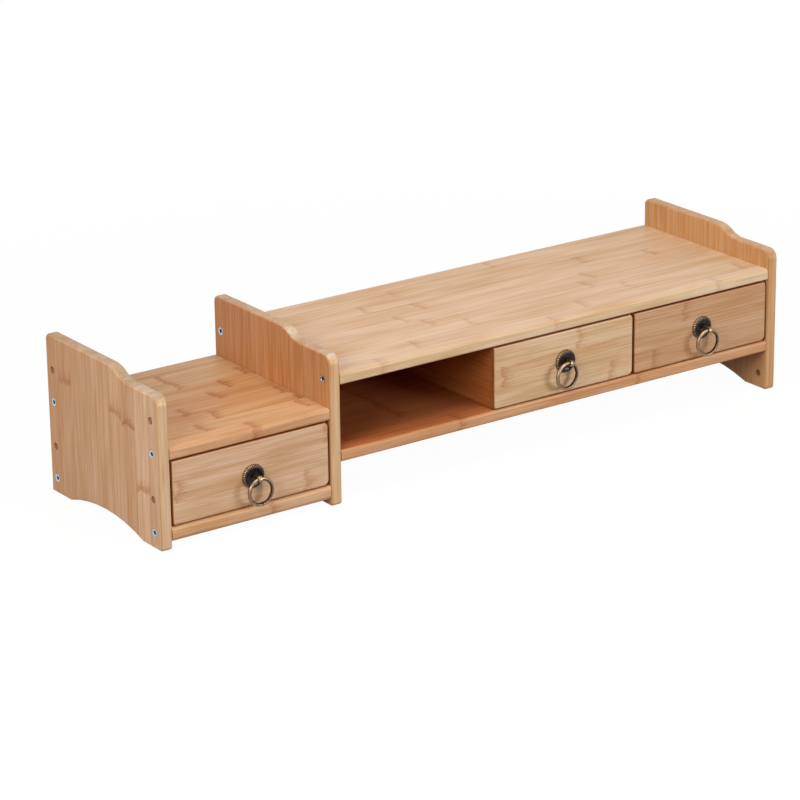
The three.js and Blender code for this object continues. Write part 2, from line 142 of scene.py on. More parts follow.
class Nodes:
    """Adds nodes to one tree and joins them."""

    def __init__(self, tree):
        self.tree = tree

    def feed(self, socket, value):
        if isinstance(value, bpy.types.NodeSocket):
            self.tree.links.new(value, socket)
        else:
            socket.default_value = value

    def add(self, kind, inputs=None, **settings):
        made = self.tree.nodes.new("ShaderNode" + kind)
        for name, value in settings.items():
            setattr(made, name, value)
        for name, value in (inputs or {}).items():
            self.feed(made.inputs[name], value)
        return made

    def math(self, operation, *values):
        made = self.add("Math", operation=operation)
        for socket, value in zip(made.inputs, values):
            self.feed(socket, value)
        return made.outputs[0]

    def ease(self, value, start, end, low=0.0, high=1.0):
        """Goes smoothly from low to high while value goes from start to end."""
        inputs = {"Value": value, "From Min": start, "From Max": end, "To Min": low, "To Max": high}
        return self.add("MapRange", inputs, interpolation_type="SMOOTHSTEP").outputs["Result"]

    def fade(self, value, start, end):
        """Goes smoothly from 1 to 0 while value goes from start to end."""
        return self.ease(value, start, end, 1.0, 0.0)

    def mix(self, share, *colours, blend="MIX"):
        made = self.add("Mix", {"Factor": share}, data_type="RGBA", blend_type=blend)
        sockets = [socket for socket in made.inputs if socket.type == "RGBA"]
        for socket, colour in zip(sockets, colours):
            self.feed(socket, colour)
        return next(socket for socket in made.outputs if socket.type == "RGBA")

    def vector(self, x, y, z):
        return self.add("CombineXYZ", {"X": x, "Y": y, "Z": z}).outputs[0]

    def noise(self, at, scale=1.0, detail=2.0, roughness=0.5, distortion=0.0):
        made = self.add("TexNoise", {
            "Vector": at, "Scale": scale, "Detail": detail, "Roughness": roughness,
            "Distortion": distortion})
        return made.outputs["Fac"]

    def swing(self, noise):
        """How far a noise is above or below its middle."""
        return self.math("SUBTRACT", noise, NOISE_MIDDLE)


# %% [markdown]
# A pattern that several materials use goes into a node group, and each material gives
# the group its own numbers and colours. The patterns of wood and of metal give back a
# colour, a roughness and a height, which are joined to the shader in the same way.

# %% Node groups, surfaces and colours
NUMBER = "NodeSocketFloat"
COLOUR = "NodeSocketColor"
SURFACE = {"Colour": COLOUR, "Roughness": NUMBER, "Height": NUMBER}
WHITE = (1.0, 1.0, 1.0, 1.0)
SCREEN_WHITE = 255
SCREEN_TOE = 0.055
SCREEN_GAMMA = 2.4


def tone(red, green, blue):
    """A colour as a screen shows it, 0 to 255, turned into the light that Blender counts in."""
    shares = [byte / SCREEN_WHITE for byte in (red, green, blue)]
    return (*[((share + SCREEN_TOE) / (1 + SCREEN_TOE)) ** SCREEN_GAMMA for share in shares], 1.0)


def empty_tree(owner):
    """Gives a material or a world an empty node tree, and returns the helper for it."""
    owner.use_nodes = True
    owner.node_tree.nodes.clear()
    return Nodes(owner.node_tree)


def shader_group(name, inputs, outputs):
    """A new node group: the helper for it, what it is given, and what it gives back."""
    tree = bpy.data.node_groups.new(name, "ShaderNodeTree")
    for way, sockets in (("INPUT", inputs), ("OUTPUT", outputs)):
        for title, kind in sockets.items():
            tree.interface.new_socket(title, in_out=way, socket_type=kind)
    given = tree.nodes.new("NodeGroupInput").outputs
    result = tree.nodes.new("NodeGroupOutput").inputs
    return Nodes(tree), given, result


def place_group(nodes, name, inputs):
    """One use of a node group in a tree, with its own values."""
    made = nodes.add("Group", node_tree=bpy.data.node_groups[name])
    for title, value in inputs.items():
        nodes.feed(made.inputs[title], value)
    return made.outputs


def lay_surface(nodes, pattern, relief, depth, finish):
    """Joins a pattern to the shader of a material. finish holds the shader's other values."""
    bump = nodes.add("Bump", {"Height": pattern["Height"], "Strength": relief, "Distance": depth * MM})
    shader = nodes.add("BsdfPrincipled", {
        "Base Color": pattern["Colour"],
        "Roughness": pattern["Roughness"],
        "Normal": bump.outputs["Normal"],
        **finish,
    })
    nodes.add("OutputMaterial", {"Surface": shader.outputs[0]})


# %% [markdown]
# The boards are glued from strips of bamboo, most of them about 23 mm wide. The eye
# finds the strips by their tone and by the seams between them. This first group only
# says which strip a point lies in and how near it is to a seam. It is a group because
# every board uses it, and their strips aren't all equally wide.

# %% Strips and seams
STRIP_WIDTH = 22.8
SEAM_RANGE = (0.15, 0.55)

nodes, given, result = shader_group(
    "strip_layout",
    dict.fromkeys(["Across", "Strip Width", "Strip Phase"], NUMBER),
    dict.fromkeys(["Strip", "Seam"], NUMBER),
)
from_first = nodes.math("SUBTRACT", given["Across"], given["Strip Phase"])
counted = nodes.math("DIVIDE", from_first, given["Strip Width"])
within = nodes.math("FRACT", counted)
nearest = nodes.math("MINIMUM", within, nodes.math("SUBTRACT", 1.0, within))
seam_distance = nodes.math("MULTIPLY", nearest, given["Strip Width"])
nodes.feed(result["Strip"], nodes.math("FLOOR", counted))
nodes.feed(result["Seam"], nodes.fade(seam_distance, *SEAM_RANGE))
print("strips and seams:", len(nodes.tree.nodes), "nodes")

# %% [markdown]
# Bamboo has no rings. It is a bundle of fibres that run the whole length of the stalk.
# So its grain has four layers: hair-fine fibres, soft streaks, a blush beside them, and
# a slow drift of tone along each strip. Each strip shifts the noise by its own number,
# so the streaks stop at a seam as they do between two strips.

# %% Bamboo: the grain
# Each size is how far a noise reaches along the fibres and across them.
FIBRE_SIZE = (60.0, 0.85)
FIBRE_ROUGHNESS = 0.65
STREAK_SIZE = (150.0, 3.0)
STREAK_BEND = 0.3
DRIFT_SIZE = (120.0, 16.0)
BLUSH_SIZE = (110.0, 4.5)
STRIP_SHIFT = 7.31

nodes, given, result = shader_group(
    "laminated_bamboo",
    dict.fromkeys([
        "Along", "Across", "Through", "End Grain And Shaded Top", "Front Face", "Arris Shade", "Strip", "Seam", "Seed",
        "Mark Place", "Mark Pitch", "Mark Strength", "Fibre Contrast", "Streak Contrast",
    ], NUMBER) | dict.fromkeys([
        "Strip Tint", "Front Tint", "End Tint And Shade", "Light Colour", "Dark Colour",
    ], COLOUR),
    SURFACE,
)
shift = nodes.math("MULTIPLY_ADD", given["Strip"], STRIP_SHIFT, given["Seed"])


def stretched(length, width):
    """Coordinates that stretch a noise along the fibres, shifted from strip to strip."""
    along = nodes.math("ADD", nodes.math("DIVIDE", given["Along"], length), shift)
    across = nodes.math("DIVIDE", given["Across"], width)
    through = nodes.math("ADD", nodes.math("DIVIDE", given["Through"], width), shift)
    return nodes.vector(along, across, through)


fibre = nodes.noise(stretched(*FIBRE_SIZE), detail=3.0, roughness=FIBRE_ROUGHNESS)
streak = nodes.noise(stretched(*STREAK_SIZE), distortion=STREAK_BEND)
drift = nodes.noise(stretched(*DRIFT_SIZE))
blush = nodes.noise(stretched(*BLUSH_SIZE))
fibre_part = nodes.math("MULTIPLY", nodes.swing(fibre), given["Fibre Contrast"])
streak_part = nodes.math("MULTIPLY", nodes.swing(streak), given["Streak Contrast"])
grain = nodes.math("ADD", nodes.math("ADD", fibre_part, streak_part), drift)
print("bamboo, so far:", len(nodes.tree.nodes), "nodes")

# %% [markdown]
# At every node of the stalk, 7 to 35 cm apart, the fibres tangle in a brown mark. It is
# a thin, broken, wandering line, with a haze of specks that reaches a little way to one
# side and further to the other. The marks repeat along their strip.

# %% Bamboo: the node marks
LINE_REACH = 3.2
HAZE_HEAD = 3.0
HAZE_TAIL = 18.0
WANDER = 11.0
WANDER_SIZE = 9.0
WANDER_ROUGHNESS = 0.55
COMB_SIZE = (9.0, 1.3)
COMB_RANGE = (0.3, 0.7)
COMB_LEAST = 0.3
SPECKLE_SIZE = (1.5, 0.8)
SPECKLE_RANGE = (0.4, 0.54)
# How much brown a speck adds, and how much lies between the specks.
LINE_SHARES = (0.6, 0.1)
HAZE_SHARES = (0.5, 0.3)


def crosswise(size):
    """Coordinates of a noise that stays the same along the fibres, shifted from strip to strip."""
    across = nodes.math("DIVIDE", given["Across"], size)
    through = nodes.math("DIVIDE", given["Through"], size)
    return nodes.vector(across, through, shift)


wander = nodes.noise(crosswise(WANDER_SIZE), detail=3.0, roughness=WANDER_ROUGHNESS)
aside = nodes.math("MULTIPLY", nodes.swing(wander), 2 * WANDER)
from_mark = nodes.math("ADD", nodes.math("SUBTRACT", given["Along"], given["Mark Place"]), aside)
half_pitch = nodes.math("MULTIPLY", given["Mark Pitch"], 0.5)
wrapped = nodes.math("WRAP", from_mark, half_pitch, nodes.math("MULTIPLY", half_pitch, -1.0))
comb = nodes.ease(nodes.noise(stretched(*COMB_SIZE), detail=1.0), *COMB_RANGE, COMB_LEAST, 1.0)
speckle = nodes.ease(nodes.noise(stretched(*SPECKLE_SIZE)), *SPECKLE_RANGE)
line = nodes.fade(nodes.math("ABSOLUTE", wrapped), 0.0, LINE_REACH)
head = nodes.ease(wrapped, -HAZE_HEAD, 0.0)
tail = nodes.fade(nodes.math("DIVIDE", wrapped, comb), 0.0, HAZE_TAIL)
haze = nodes.math("MULTIPLY", head, tail)
line_part = nodes.math("MULTIPLY", line, nodes.math("MULTIPLY_ADD", speckle, *LINE_SHARES))
haze_part = nodes.math("MULTIPLY", haze, nodes.math("MULTIPLY_ADD", speckle, *HAZE_SHARES))
mark = nodes.math("MULTIPLY", nodes.math("MAXIMUM", line_part, haze_part), given["Mark Strength"])
print("bamboo, with its marks:", len(nodes.tree.nodes), "nodes")

# %% [markdown]
# Now the layers become one colour. Where a face looks along the fibres, as on the top
# edge of a panel, they are cut across and show as fine dots. The arrises are tinted a
# little darker and warmer than the faces beside them, as painted shade on a rounded edge.

# %% Bamboo: colour, roughness and height
DOT_SPACING = 0.9
DOT_RANGE = (0.2, 0.5)
DOT_SHARE = 0.12
SEAM_SHARE = 0.2
GRAIN_RANGE = (0.15, 0.85)
BLUSH_RANGE = (0.42, 0.68)
BLUSH_TINT = (1.0, 0.93, 0.82, 1.0)
MARK_TINT = (0.62, 0.3, 0.17, 1.0)
# Painted shade: the arrises are darkened and warmed for the shade that falls on a rounded edge.
ARRIS_SHADE_TINT = (0.98, 0.94, 0.88, 1.0)
DULL_RANGE = (0.2, 0.8)
DULL_TO_SHINY = (0.54, 0.44)
END_DULLER = 0.15
MARK_DULLER = 0.1

dots = nodes.add("TexVoronoi", {"Vector": crosswise(DOT_SPACING), "Scale": 1.0}).outputs["Distance"]
dotted = nodes.math("MULTIPLY", nodes.fade(dots, *DOT_RANGE), given["End Grain And Shaded Top"])
blushed = nodes.math("MULTIPLY", nodes.ease(blush, *BLUSH_RANGE), given["Streak Contrast"])
marked = nodes.math("MULTIPLY_ADD", given["Seam"], SEAM_SHARE, mark)
browned = nodes.math("MULTIPLY_ADD", dotted, DOT_SHARE, marked)
wood = nodes.mix(nodes.ease(grain, *GRAIN_RANGE), given["Dark Colour"], given["Light Colour"])
for share, colour in (
    (blushed, BLUSH_TINT),
    (browned, MARK_TINT),
    (1.0, given["Strip Tint"]),
    (given["Front Face"], given["Front Tint"]),
    (given["End Grain And Shaded Top"], given["End Tint And Shade"]),
    (given["Arris Shade"], ARRIS_SHADE_TINT),
):
    wood = nodes.mix(share, wood, colour, blend="MULTIPLY")
nodes.feed(result["Colour"], wood)
mark_duller = nodes.math("MULTIPLY", mark, MARK_DULLER)
duller = nodes.math("MULTIPLY_ADD", given["End Grain And Shaded Top"], END_DULLER, mark_duller)
nodes.feed(result["Roughness"], nodes.math("ADD", duller, nodes.ease(fibre, *DULL_RANGE, *DULL_TO_SHINY)))
nodes.feed(result["Height"], nodes.math("SUBTRACT", fibre, nodes.math("ADD", given["Seam"], dotted)))
print("bamboo, ready:", len(nodes.tree.nodes), "nodes")

# %% [markdown]
# A board needs only its own facts now: which way its fibres run, which way its strips
# lie side by side, its colours, and where each strip's node marks fall. Those last
# numbers differ from strip to strip. Two color ramps with hard steps hold them, one
# step for each strip: the first packs the marks' place, pitch and strength into its
# channels, and the second is the strip's own tint.
#
# A Mapping node turns Blender's metres into the riser's millimetres first, so that
# the numbers are the ones that a rule on the real riser would read.

# %% Bamboo: the material of one board
PLACE_RANGE = 800.0
PITCH_RANGE = 500.0
TINT_RANGE = 2.0
END_RANGE = (0.55, 0.9)
FRONT_RANGE = (-0.5, -0.2)
# How near a face is to an arris, for the painted shade on the arrises.
ARRIS_SHADE_RANGE = (0.88, 0.99)
FIBRE_RELIEF = 0.5
FIBRE_DEPTH = 0.03
LACQUER = {"Specular IOR Level": 0.15, "Coat Weight": 0.1, "Coat Roughness": 0.3}


def stepped_ramp(nodes, strip, steps):
    """A color ramp with one hard step for each strip."""
    count = len(steps)
    ramp = nodes.add("ValToRGB")
    ramp.color_ramp.interpolation = "CONSTANT"
    marks = ramp.color_ramp.elements
    while len(marks) < count:
        marks.new(len(marks) / count)
    for number, channels in enumerate(steps):
        marks[number].position = number / count
        marks[number].color = (*channels, 1.0)
    middle = nodes.math("DIVIDE", nodes.math("ADD", strip, 0.5), float(count))
    nodes.feed(ramp.inputs["Fac"], middle)
    return ramp.outputs["Color"]


def strip_facts(nodes, strip, strips):
    """Looks up one strip's node marks and its tint."""
    mark_steps = []
    tint_steps = []
    for place, pitch, strength, red, blue in strips:
        mark_steps.append((place / PLACE_RANGE, pitch / PITCH_RANGE, strength))
        tint_steps.append([share / TINT_RANGE for share in (red, math.sqrt(red * blue), blue)])
    marks = nodes.add("SeparateColor", {"Color": stepped_ramp(nodes, strip, mark_steps)}).outputs
    packed_tint = stepped_ramp(nodes, strip, tint_steps)
    unpack = (TINT_RANGE, TINT_RANGE, TINT_RANGE, 1.0)
    return {
        "Mark Place": nodes.math("MULTIPLY", marks["Red"], PLACE_RANGE),
        "Mark Pitch": nodes.math("MULTIPLY", marks["Green"], PITCH_RANGE),
        "Mark Strength": marks["Blue"],
        "Strip Tint": nodes.mix(1.0, packed_tint, unpack, blend="MULTIPLY"),
    }


def bamboo_material(
        name, grain, across, colours, strips, width=STRIP_WIDTH, phase=0.0, seed=0.0,
        fibre=1.7, streak=1.0, front=WHITE, ends=WHITE, shade_top_like_ends=False):
    """A lacquered bamboo board. strips lists, for each strip, the place and pitch of its
    node marks in mm, their strength, and how much red and blue the strip has beside the
    board's own. fibre and streak say how strongly those show. front and ends tint the
    faces that look ahead or show the cut fibres. When the top face is counted with the
    ends, it takes their tint too; on a drawer front that tint is painted shade for the gaps."""
    material = bpy.data.materials.new(name)
    nodes = empty_tree(material)
    points = nodes.add("TexCoord").outputs
    to_riser = nodes.add("Mapping", {
        "Vector": points["Object"], "Location": -RISER_START / MM, "Scale": (1 / MM, 1 / MM, 1 / MM)})
    sides = nodes.add("SeparateXYZ", {"Vector": to_riser.outputs[0]}).outputs
    facing = nodes.add("SeparateXYZ", {"Vector": points["Normal"]}).outputs
    through = next(axis for axis in "XYZ" if axis not in (grain, across))
    straight = {axis: nodes.math("ABSOLUTE", facing[axis]) for axis in "XYZ"}
    straightest = nodes.math("MAXIMUM", nodes.math("MAXIMUM", straight["X"], straight["Y"]), straight["Z"])
    ends_and_shaded_top = straight[grain]
    # A drawer front's top face joins the ends here, so that it takes their dark tint as painted shade.
    if shade_top_like_ends:
        ends_and_shaded_top = nodes.math("MAXIMUM", ends_and_shaded_top, facing["Z"])
    pale, dark = colours
    layout = place_group(nodes, "strip_layout", {
        "Across": sides[across], "Strip Width": width, "Strip Phase": phase})
    pattern = place_group(nodes, "laminated_bamboo", {
        "Along": sides[grain],
        "Across": sides[across],
        "Through": sides[through],
        "End Grain And Shaded Top": nodes.ease(ends_and_shaded_top, *END_RANGE),
        "Front Face": nodes.fade(facing["Y"], *FRONT_RANGE),
        "Arris Shade": nodes.fade(straightest, *ARRIS_SHADE_RANGE),
        "Strip": layout["Strip"],
        "Seam": layout["Seam"],
        "Seed": seed,
        "Fibre Contrast": fibre,
        "Streak Contrast": streak,
        "Front Tint": front,
        "End Tint And Shade": ends,
        "Light Colour": pale,
        "Dark Colour": dark,
        **strip_facts(nodes, layout["Strip"], strips),
    })
    lay_surface(nodes, pattern, FIBRE_RELIEF, FIBRE_DEPTH, LACQUER)
    return material


# %% [markdown]
# The boards were not cut from one plank. The shelf is pale, the step is warmer and the
# middle panel is redder. The bottom boards and the boards inside the drawers and at the
# back are given a dark red-brown, which is painted shade for the shade inside the riser,
# and the bottom boards' front faces are tinted back up to a lit tone. Each board has its
# own middle tone, about which its fibres vary. Fibres that are darker are redder too, so
# green and blue vary more than red. The strips are listed from the front of the riser to
# its back, or from the table up on the boards of a drawer and on the back boards.

# %% Bamboo: each board's colours and strips
FIBRE_SPREAD = (0.12, 0.21, 0.36)
NO_MARK = (0.0, 500.0, 0.0)
# A pitch that is longer than the board, so that a mark falls there only once.
ONCE = 300.0
EVEN = (1.0, 1.0)


def wood_tones(red, green, blue):
    """The pale and the dark of a board's fibres about its middle tone."""
    shares = tone(red, green, blue)[:3]
    pale = [share * (1 + spread) for share, spread in zip(shares, FIBRE_SPREAD)]
    dark = [share * (1 - spread) for share, spread in zip(shares, FIBRE_SPREAD)]
    return (*pale, 1.0), (*dark, 1.0)


def tint(red, green, blue):
    return (red, green, blue, 1.0)


FRONT_LOOK = {
    # The drawer fronts' ends and narrow top face are tinted dark brown: painted shade for the gaps about
    # each front.
    "width": 22.1, "fibre": 1.9, "streak": 0.3, "ends": tint(0.48, 0.25, 0.16), "shade_top_like_ends": True,
}
# Painted shade: the bottom boards and the boards inside are darkened and reddened for the shade they stand
# in.
BOTTOM_SHADE_TONES = wood_tones(168, 100, 58)
INSIDE_SHADE_TONES = wood_tones(156, 94, 50)

shelf_bamboo = bamboo_material("shelf_bamboo", "X", "Y", wood_tones(215, 182, 150), [
    (457.0, 207.0, 0.4, 1.02, 1.1), (304.7, 204.0, 0.5, 1.01, 1.07), (388.0, 196.0, 0.4, 1.01, 1.04),
    (353.0, 198.0, 0.5, 1.0, 1.04), (338.0, 233.0, 0.5, 1.0, 1.0), (376.0, 295.0, 0.55, 0.99, 0.93),
    (324.7, 273.0, 0.5, 0.97, 0.9), (379.7, 350.0, 0.3, 1.01, 0.98), (514.7, 320.0, 0.4, 0.97, 0.92),
], width=23.2, phase=-7.5, seed=3.0, fibre=1.15, streak=0.4, front=tint(0.82, 0.81, 0.7))
step_bamboo = bamboo_material("step_bamboo", "X", "Y", wood_tones(196, 152, 111), [
    (105.0, ONCE, 0.8, 1.09, 1.1), (63.0, 112.0, 0.8, 1.08, 1.12), (93.0, 92.0, 0.9, 1.01, 0.9),
    (72.0, 109.0, 0.9, 0.97, 0.82), (123.0, 240.0, 0.9, 0.96, 0.84), (148.0, 260.0, 1.0, 0.99, 0.92),
    (106.0, 75.0, 0.9, 1.0, 1.14), (106.0, 260.0, 1.0, 0.97, 1.1), (*NO_MARK, 0.93, 1.04),
], width=22.75, phase=-3.95, seed=11.0, streak=0.7, front=tint(0.87, 0.84, 0.87))
left_bamboo = bamboo_material("left_bamboo", "Z", "Y", wood_tones(213, 172, 136), [
    (*NO_MARK, 1.02, 1.15), (52.0, ONCE, 0.9, 1.12, 1.35), (110.0, ONCE, 1.0, 0.97, 0.94),
    (115.0, ONCE, 0.8, 1.03, 1.05), (*NO_MARK, 1.0, 1.0), (*NO_MARK, 0.99, 0.98),
    (*NO_MARK, 0.98, 0.95), (119.0, ONCE, 0.8, 0.95, 0.86), (*NO_MARK, 0.91, 0.79),
], phase=-5.3, seed=23.0, fibre=2.1, streak=0.55, front=tint(0.81, 0.81, 0.73), ends=tint(0.72, 0.85, 1.0))
middle_bamboo = bamboo_material("middle_bamboo", "Z", "Y", wood_tones(187, 134, 91), [
    (*NO_MARK, 1.06, 1.15), (*NO_MARK, 0.98, 1.0), (*NO_MARK, 1.01, 1.0), (*NO_MARK, 1.01, 0.98),
    (*NO_MARK, 1.04, 1.04), (*NO_MARK, 1.02, 1.02), (*NO_MARK, 0.98, 0.96), (*NO_MARK, 0.98, 0.98),
    (*NO_MARK, 0.93, 0.9),
], width=22.6, phase=-0.6, seed=37.0, streak=0.9, front=tint(1.04, 1.32, 1.56), ends=tint(1.09, 1.56, 2.47))
right_bamboo = bamboo_material("right_bamboo", "Z", "Y", wood_tones(198, 151, 105), [
    (*NO_MARK, 1.03, 1.05), (*NO_MARK, *EVEN), (*NO_MARK, 1.02, 1.02), (*NO_MARK, *EVEN),
], width=24.4, phase=-3.0, seed=41.0, streak=0.6, front=tint(0.8, 0.81, 0.81), ends=tint(1.05, 1.23, 1.62))
low_front_bamboo = bamboo_material("low_front_bamboo", "X", "Z", wood_tones(196, 159, 125), [
    (161.0, ONCE, 0.6, 1.03, 1.08), (19.0, ONCE, 0.6, 0.98, 0.98), (183.0, ONCE, 0.6, 0.98, 0.98),
], phase=21.9, seed=53.0, **FRONT_LOOK)
high_left_front_bamboo = bamboo_material("high_left_front_bamboo", "X", "Z", wood_tones(193, 160, 122), [
    (526.0, ONCE, 0.6, 1.0, 1.01), (391.0, ONCE, 0.7, 0.98, 0.92), (486.0, ONCE, 0.6, 1.02, 1.07),
], phase=53.2, seed=61.0, **FRONT_LOOK)
high_right_front_bamboo = bamboo_material("high_right_front_bamboo", "X", "Z", wood_tones(179, 138, 101), [
    (582.0, ONCE, 0.6, 0.99, 0.97), (*NO_MARK, 1.01, 1.05), (621.0, ONCE, 0.6, 0.99, 0.98),
], phase=53.2, seed=67.0, **FRONT_LOOK)
BOTTOM_STRIPS = [
    (120.0, 220.0, 0.7, *EVEN), (222.0, 240.0, 0.8, 0.99, 0.98), (300.0, 230.0, 0.8, *EVEN),
]
SHEET_STRIPS = [
    (90.0, 210.0, 0.6, *EVEN), (160.0, 260.0, 0.6, 1.02, 1.02), (60.0, 240.0, 0.6, 0.98, 0.97),
]
# The bottom boards' front faces are tinted back up to a lit tone, over the painted shade of the rest of the
# board.
bottom_bamboo = bamboo_material(
    "bottom_bamboo", "X", "Y", BOTTOM_SHADE_TONES, BOTTOM_STRIPS,
    phase=-4.0, seed=71.0, front=tint(1.22, 1.95, 2.8))
low_bottom_bamboo = bamboo_material(
    "low_bottom_bamboo", "X", "Y", BOTTOM_SHADE_TONES, BOTTOM_STRIPS,
    phase=-4.0, seed=73.0, front=tint(1.38, 2.55, 4.2))
side_bamboo = bamboo_material("side_bamboo", "Y", "Z", INSIDE_SHADE_TONES, [
    (*NO_MARK, *EVEN), (*NO_MARK, 0.95, 0.93), (*NO_MARK, 1.04, 1.06), (*NO_MARK, *EVEN),
], width=5.2, phase=20.0, seed=83.0, fibre=1.4)
sheet_bamboo = bamboo_material(
    "sheet_bamboo", "X", "Z", INSIDE_SHADE_TONES, SHEET_STRIPS, width=21.0, phase=-2.0, seed=89.0)
tray_bamboo = bamboo_material(
    "tray_bamboo", "X", "Y", INSIDE_SHADE_TONES, SHEET_STRIPS, width=21.0, phase=-2.0, seed=97.0)
print("bamboo materials:", sum(material.name.endswith("_bamboo") for material in bpy.data.materials))

# %% [markdown]
# Three more finishes remain. The rings and split pins are steel with an antique brass
# plating: a warm grey-brown metal, rubbed brighter where fingers touch it and nearly
# black where they don't. The rosettes were dipped darker, and only the tips of their
# flutes are rubbed. The screws are zinc plated, with a faint blue cast.
#
# Each mesh carries its own rubbing as a number on every vertex, named wear, so one
# group serves all the metals: it blurs that number with fine noise, as hands do.

# %% Metal: the shared rubbing
PATINA_SIZE = 1.6
PATINA_ROUGHNESS = 0.6
SCRATCH_SIZE = 0.25
SCRATCH_DULLER = 0.1
SCRATCH_RELIEF = 0.4
RUBBED_RANGE = (0.1, 0.9)

nodes, given, result = shader_group(
    "rubbed_metal",
    dict.fromkeys(["Bright Colour", "Dark Colour"], COLOUR)
    | dict.fromkeys(["Patina", "Smoothest", "Roughest"], NUMBER),
    SURFACE,
)
points = nodes.add("TexCoord").outputs["Object"]
patina = nodes.noise(points, scale=1 / (PATINA_SIZE * MM), detail=4.0, roughness=PATINA_ROUGHNESS)
scratch = nodes.noise(points, scale=1 / (SCRATCH_SIZE * MM))
wear = nodes.add("Attribute", attribute_name="wear").outputs["Fac"]
spread = nodes.math("MULTIPLY", nodes.swing(patina), nodes.math("MULTIPLY", given["Patina"], 2.0))
rubbed = nodes.ease(nodes.math("ADD", wear, spread), *RUBBED_RANGE)
nodes.feed(result["Colour"], nodes.mix(rubbed, given["Dark Colour"], given["Bright Colour"]))
gloss = nodes.add("MapRange", {"Value": rubbed, "To Min": given["Roughest"], "To Max": given["Smoothest"]})
nodes.feed(result["Roughness"], nodes.math("MULTIPLY_ADD", scratch, SCRATCH_DULLER, gloss.outputs["Result"]))
nodes.feed(result["Height"], nodes.math("MULTIPLY_ADD", scratch, SCRATCH_RELIEF, patina))
print("rubbed metal:", len(nodes.tree.nodes), "nodes")

# %% Metal: three platings
DENT_RELIEF = 0.6
DENT_DEPTH = 0.05
LACQUER_ROUGHNESS = 0.14


def metal_material(name, bright, dark, patina, smoothest, roughest, lacquer=0.0):
    material = bpy.data.materials.new(name)
    nodes = empty_tree(material)
    plating = place_group(nodes, "rubbed_metal", {
        "Bright Colour": bright, "Dark Colour": dark, "Patina": patina,
        "Smoothest": smoothest, "Roughest": roughest})
    lay_surface(nodes, plating, DENT_RELIEF, DENT_DEPTH, {
        "Metallic": 1.0, "Coat Weight": lacquer, "Coat Roughness": LACQUER_ROUGHNESS})
    return material


antique_brass = metal_material(
    "antique_brass", tone(152, 128, 102), tone(40, 24, 15), patina=0.4, smoothest=0.28, roughest=0.42)
dark_brass = metal_material(
    "dark_brass", tone(200, 164, 124), tone(34, 25, 23), patina=0.25, smoothest=0.34, roughest=0.42,
    lacquer=0.3)
zinc_steel = metal_material(
    "zinc_steel", tone(176, 190, 200), tone(26, 34, 42), patina=0.25, smoothest=0.22, roughest=0.4)
print("platings:", [plating.name for plating in (antique_brass, dark_brass, zinc_steel)])

# %% [markdown]
# Operators act on what is selected, and loading the model leaves its parts selected.
# So every step here starts from nothing selected. In edit mode, points are picked in
# code by where they lie, which is what a hand would do with a box selection.

# %% Helpers for modelling
MERGE_DISTANCE = 0.002
SMOOTH_ANGLE = math.radians(40)
EDGE_STEPS = 2


def select_none():
    bpy.ops.object.select_all(action="DESELECT")


def select_only(piece):
    select_none()
    piece.select_set(True)
    bpy.context.view_layer.objects.active = piece


def edit(piece):
    select_only(piece)
    bpy.ops.object.mode_set(mode="EDIT")


def leave():
    bpy.ops.object.mode_set(mode="OBJECT")


def pick(piece, is_wanted, kind="VERT"):
    """In edit mode, selects the points or faces that pass the test, and no others."""
    bpy.ops.mesh.select_mode(type=kind)
    bpy.ops.mesh.select_all(action="DESELECT")
    leave()
    parts = piece.data.vertices if kind == "VERT" else piece.data.polygons
    for part in parts:
        part.select = is_wanted(part)
    bpy.ops.object.mode_set(mode="EDIT")


def merge_all():
    """In edit mode, selects everything and makes one of points that lie on one another."""
    bpy.ops.mesh.select_all(action="SELECT")
    bpy.ops.mesh.remove_doubles(threshold=MERGE_DISTANCE * MM)


def settle(piece):
    """Puts the piece's place, turn and size into its mesh."""
    select_only(piece)
    bpy.ops.object.transform_apply(location=True, rotation=True, scale=True)


def finish_with(piece, kind, **settings):
    """Adds a modifier, sets it up and applies it."""
    select_only(piece)
    modifier = piece.modifiers.new(kind.title(), kind)
    for name, value in settings.items():
        setattr(modifier, name, value)
    bpy.ops.object.modifier_apply(modifier=modifier.name)


def soften(piece, width, segments=EDGE_STEPS):
    """Bevels the edges that are still sharp, by a width in mm."""
    finish_with(
        piece, "BEVEL", width=width * MM, segments=segments, limit_method="ANGLE",
        angle_limit=SMOOTH_ANGLE)


def light_as_round(piece, angle=SMOOTH_ANGLE):
    """Lights every bend up to the angle as round."""
    select_only(piece)
    bpy.ops.object.shade_smooth_by_angle(angle=angle)


def extrude(x, y, z):
    """Extrudes what is selected by a step in mm."""
    bpy.ops.mesh.extrude_region_move(TRANSFORM_OT_translate={"value": (x * MM, y * MM, z * MM)})


def extrude_outline(outline):
    """Extrudes the selected ring or cap about Z, through a list of radii and heights."""
    for (old_radius, old_height), (radius, height) in zip(outline, outline[1:]):
        extrude(0, 0, height - old_height)
        share = radius / old_radius
        bpy.ops.transform.resize(value=(share, share, 1), center_override=(0, 0, 0))


def limited(share):
    return min(1.0, max(0.0, share))


def set_wear(piece, wear_at):
    """Writes how much each point of a piece is rubbed, from 0 to 1."""
    worn = piece.data.attributes.new("wear", "FLOAT", "POINT")
    for point, vertex in zip(worn.data, piece.data.vertices):
        point.value = limited(wear_at(vertex.co))


def hand_over(piece, body, nodes, material):
    """Gives a finished piece its material, puts it on the body that it rides on, and hides the parts of the
    model that it takes the place of.
    """
    piece.data.materials.clear()
    piece.data.materials.append(material)
    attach(piece, body)
    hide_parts(*nodes)


